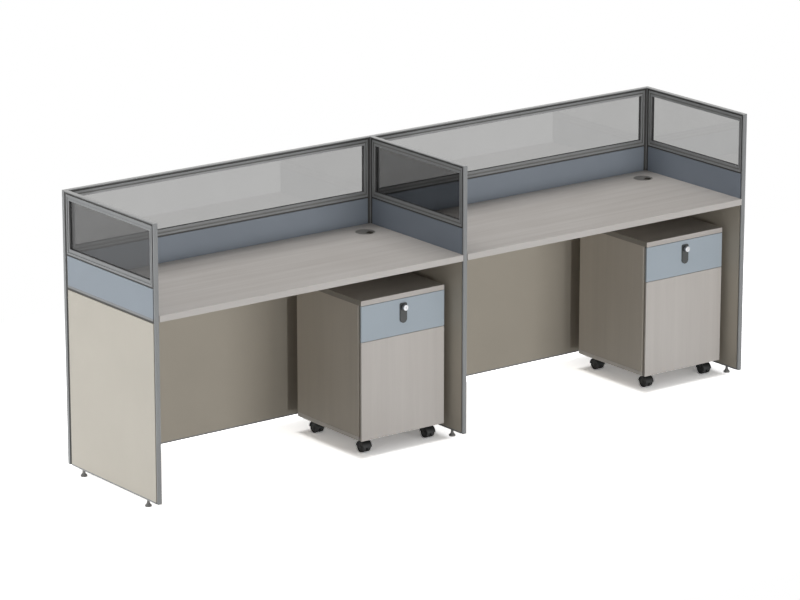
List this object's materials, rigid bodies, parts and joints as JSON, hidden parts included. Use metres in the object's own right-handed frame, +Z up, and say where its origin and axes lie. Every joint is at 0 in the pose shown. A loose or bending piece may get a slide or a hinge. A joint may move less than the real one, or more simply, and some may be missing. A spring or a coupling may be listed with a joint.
{
  "type": "two-bay cubicle workstation",
  "caption": "Linear office workstation with glazed partitions, worktops under cable grommets and mobile drawer pedestals on casters.",
  "frame": {"origin": "on the floor under the middle of the whole workstation", "axes": "+X to the right along the row of bays, +Y from the open front to the back partitions, +Z up"},
  "size_m": [2.866, 0.62, 1.1],
  "materials": {
    "frame": "satin grey powder coat",
    "cream_board": "matt cream melamine-faced board",
    "blue_board": "matt grey-blue melamine-faced board",
    "glass": "clear polished sheet",
    "bracket_steel": "black powder coat",
    "worktop": "matt grey oak melamine",
    "grommet_ring": "fine textured grey",
    "grommet_cap": "fine textured dark grey",
    "foot": "grey moulded",
    "pedestal_board": "matt grey oak melamine",
    "blue_front": "matt light blue melamine",
    "slide_steel": "zinc plated",
    "box_steel": "light grey powder coat",
    "lock_plastic": "dark grey moulded",
    "knob_metal": "polished",
    "caster_plastic": "black moulded",
    "wheel_plastic": "black moulded"
  },
  "bodies": {
    "partitions_and_worktops": {"left_side_frame": "frame", "middle_side_frame": "frame", "right_side_frame": "frame", "left_back_frame": "frame", "right_back_frame": "frame", "corner_posts": "frame", "cream_boards": "cream_board", "blue_boards": "blue_board", "glazing_members": "frame", "glass_panes": "glass", "worktop_angles": "bracket_steel", "left_worktop": "worktop", "right_worktop": "worktop", "grommet_rings": "grommet_ring"},
    "left_front_foot": {"left_front_foot": "foot"},
    "left_rear_foot": {"left_rear_foot": "foot"},
    "middle_front_foot": {"middle_front_foot": "foot"},
    "middle_rear_foot": {"middle_rear_foot": "foot"},
    "right_front_foot": {"right_front_foot": "foot"},
    "right_rear_foot": {"right_rear_foot": "foot"},
    "left_grommet_cap": {"left_grommet_cap": "grommet_cap"},
    "right_grommet_cap": {"right_grommet_cap": "grommet_cap"},
    "left_pedestal": {"left_pedestal_top": "pedestal_board", "left_pedestal_sides": "pedestal_board", "left_pedestal_base_and_back": "pedestal_board", "left_drawer_rails": "slide_steel", "left_caster_plates": "slide_steel"},
    "left_drawer": {"left_drawer_front": "blue_front", "left_drawer_box": "box_steel", "left_lock_plate": "lock_plastic"},
    "left_file_drawer": {"left_file_front": "pedestal_board", "left_file_box": "box_steel"},
    "left_lock": {"left_lock_knob": "knob_metal"},
    "left_swivel_front_left": {"left_hood_front_left": "caster_plastic"},
    "left_wheel_pair_front_left": {"left_wheels_front_left": "wheel_plastic"},
    "left_swivel_front_right": {"left_hood_front_right": "caster_plastic"},
    "left_wheel_pair_front_right": {"left_wheels_front_right": "wheel_plastic"},
    "left_swivel_back_left": {"left_hood_back_left": "caster_plastic"},
    "left_wheel_pair_back_left": {"left_wheels_back_left": "wheel_plastic"},
    "left_swivel_back_right": {"left_hood_back_right": "caster_plastic"},
    "left_wheel_pair_back_right": {"left_wheels_back_right": "wheel_plastic"},
    "right_pedestal": {"right_pedestal_top": "pedestal_board", "right_pedestal_sides": "pedestal_board", "right_pedestal_base_and_back": "pedestal_board", "right_drawer_rails": "slide_steel", "right_caster_plates": "slide_steel"},
    "right_drawer": {"right_drawer_front": "blue_front", "right_drawer_box": "box_steel", "right_lock_plate": "lock_plastic"},
    "right_file_drawer": {"right_file_front": "pedestal_board", "right_file_box": "box_steel"},
    "right_lock": {"right_lock_knob": "knob_metal"},
    "right_swivel_front_left": {"right_hood_front_left": "caster_plastic"},
    "right_wheel_pair_front_left": {"right_wheels_front_left": "wheel_plastic"},
    "right_swivel_front_right": {"right_hood_front_right": "caster_plastic"},
    "right_wheel_pair_front_right": {"right_wheels_front_right": "wheel_plastic"},
    "right_swivel_back_left": {"right_hood_back_left": "caster_plastic"},
    "right_wheel_pair_back_left": {"right_wheels_back_left": "wheel_plastic"},
    "right_swivel_back_right": {"right_hood_back_right": "caster_plastic"},
    "right_wheel_pair_back_right": {"right_wheels_back_right": "wheel_plastic"}
  },
  "joints": [
    {"name": "left_front_foot_turn", "type": "hinge", "parent": "partitions_and_worktops", "child": "left_front_foot", "pos_m": [-1.42, -0.23, 0.02], "axis": [0, 0, 1], "continuous": true},
    {"name": "left_rear_foot_turn", "type": "hinge", "parent": "partitions_and_worktops", "child": "left_rear_foot", "pos_m": [-1.42, 0.21, 0.02], "axis": [0, 0, 1], "continuous": true},
    {"name": "middle_front_foot_turn", "type": "hinge", "parent": "partitions_and_worktops", "child": "middle_front_foot", "pos_m": [0, -0.23, 0.02], "axis": [0, 0, 1], "continuous": true},
    {"name": "middle_rear_foot_turn", "type": "hinge", "parent": "partitions_and_worktops", "child": "middle_rear_foot", "pos_m": [0, 0.21, 0.02], "axis": [0, 0, 1], "continuous": true},
    {"name": "right_front_foot_turn", "type": "hinge", "parent": "partitions_and_worktops", "child": "right_front_foot", "pos_m": [1.42, -0.23, 0.02], "axis": [0, 0, 1], "continuous": true},
    {"name": "right_rear_foot_turn", "type": "hinge", "parent": "partitions_and_worktops", "child": "right_rear_foot", "pos_m": [1.42, 0.21, 0.02], "axis": [0, 0, 1], "continuous": true},
    {"name": "left_grommet_cap_turn", "type": "hinge", "parent": "partitions_and_worktops", "child": "left_grommet_cap", "pos_m": [-0.107, 0.193, 0.752], "axis": [0, 0, 1], "continuous": true},
    {"name": "right_grommet_cap_turn", "type": "hinge", "parent": "partitions_and_worktops", "child": "right_grommet_cap", "pos_m": [1.313, 0.193, 0.752], "axis": [0, 0, 1], "continuous": true},
    {"name": "left_pedestal_roll", "type": "slide", "parent": "partitions_and_worktops", "child": "left_pedestal", "axis": [0, -1, 0], "range_m": [-0.08, 0.45]},
    {"name": "left_drawer_slide", "type": "slide", "parent": "left_pedestal", "child": "left_drawer", "axis": [0, -1, 0], "range_m": [0, 0.27]},
    {"name": "left_file_slide", "type": "slide", "parent": "left_pedestal", "child": "left_file_drawer", "axis": [0, -1, 0], "range_m": [0, 0.27]},
    {"name": "left_lock_turn", "type": "hinge", "parent": "left_drawer", "child": "left_lock", "pos_m": [-0.24, -0.215, 0.565], "axis": [0, -1, 0], "range_deg": [0, 90]},
    {"name": "left_swivel_turn_front_left", "type": "hinge", "parent": "left_pedestal", "child": "left_swivel_front_left", "pos_m": [-0.394, -0.164, 0.05], "axis": [0, 0, 1], "continuous": true},
    {"name": "left_wheel_turn_front_left", "type": "hinge", "parent": "left_swivel_front_left", "child": "left_wheel_pair_front_left", "pos_m": [-0.394, -0.184, 0.022], "axis": [1, 0, 0], "continuous": true},
    {"name": "left_swivel_turn_front_right", "type": "hinge", "parent": "left_pedestal", "child": "left_swivel_front_right", "pos_m": [-0.086, -0.164, 0.05], "axis": [0, 0, 1], "continuous": true},
    {"name": "left_wheel_turn_front_right", "type": "hinge", "parent": "left_swivel_front_right", "child": "left_wheel_pair_front_right", "pos_m": [-0.086, -0.184, 0.022], "axis": [1, 0, 0], "continuous": true},
    {"name": "left_swivel_turn_back_left", "type": "hinge", "parent": "left_pedestal", "child": "left_swivel_back_left", "pos_m": [-0.394, 0.144, 0.05], "axis": [0, 0, 1], "continuous": true},
    {"name": "left_wheel_turn_back_left", "type": "hinge", "parent": "left_swivel_back_left", "child": "left_wheel_pair_back_left", "pos_m": [-0.394, 0.124, 0.022], "axis": [1, 0, 0], "continuous": true},
    {"name": "left_swivel_turn_back_right", "type": "hinge", "parent": "left_pedestal", "child": "left_swivel_back_right", "pos_m": [-0.086, 0.144, 0.05], "axis": [0, 0, 1], "continuous": true},
    {"name": "left_wheel_turn_back_right", "type": "hinge", "parent": "left_swivel_back_right", "child": "left_wheel_pair_back_right", "pos_m": [-0.086, 0.124, 0.022], "axis": [1, 0, 0], "continuous": true},
    {"name": "right_pedestal_roll", "type": "slide", "parent": "partitions_and_worktops", "child": "right_pedestal", "axis": [0, -1, 0], "range_m": [-0.08, 0.45]},
    {"name": "right_drawer_slide", "type": "slide", "parent": "right_pedestal", "child": "right_drawer", "axis": [0, -1, 0], "range_m": [0, 0.27]},
    {"name": "right_file_slide", "type": "slide", "parent": "right_pedestal", "child": "right_file_drawer", "axis": [0, -1, 0], "range_m": [0, 0.27]},
    {"name": "right_lock_turn", "type": "hinge", "parent": "right_drawer", "child": "right_lock", "pos_m": [1.18, -0.215, 0.565], "axis": [0, -1, 0], "range_deg": [0, 90]},
    {"name": "right_swivel_turn_front_left", "type": "hinge", "parent": "right_pedestal", "child": "right_swivel_front_left", "pos_m": [1.026, -0.164, 0.05], "axis": [0, 0, 1], "continuous": true},
    {"name": "right_wheel_turn_front_left", "type": "hinge", "parent": "right_swivel_front_left", "child": "right_wheel_pair_front_left", "pos_m": [1.026, -0.184, 0.022], "axis": [1, 0, 0], "continuous": true},
    {"name": "right_swivel_turn_front_right", "type": "hinge", "parent": "right_pedestal", "child": "right_swivel_front_right", "pos_m": [1.334, -0.164, 0.05], "axis": [0, 0, 1], "continuous": true},
    {"name": "right_wheel_turn_front_right", "type": "hinge", "parent": "right_swivel_front_right", "child": "right_wheel_pair_front_right", "pos_m": [1.334, -0.184, 0.022], "axis": [1, 0, 0], "continuous": true},
    {"name": "right_swivel_turn_back_left", "type": "hinge", "parent": "right_pedestal", "child": "right_swivel_back_left", "pos_m": [1.026, 0.144, 0.05], "axis": [0, 0, 1], "continuous": true},
    {"name": "right_wheel_turn_back_left", "type": "hinge", "parent": "right_swivel_back_left", "child": "right_wheel_pair_back_left", "pos_m": [1.026, 0.124, 0.022], "axis": [1, 0, 0], "continuous": true},
    {"name": "right_swivel_turn_back_right", "type": "hinge", "parent": "right_pedestal", "child": "right_swivel_back_right", "pos_m": [1.334, 0.144, 0.05], "axis": [0, 0, 1], "continuous": true},
    {"name": "right_wheel_turn_back_right", "type": "hinge", "parent": "right_swivel_back_right", "child": "right_wheel_pair_back_right", "pos_m": [1.334, 0.124, 0.022], "axis": [1, 0, 0], "continuous": true}
  ]
}
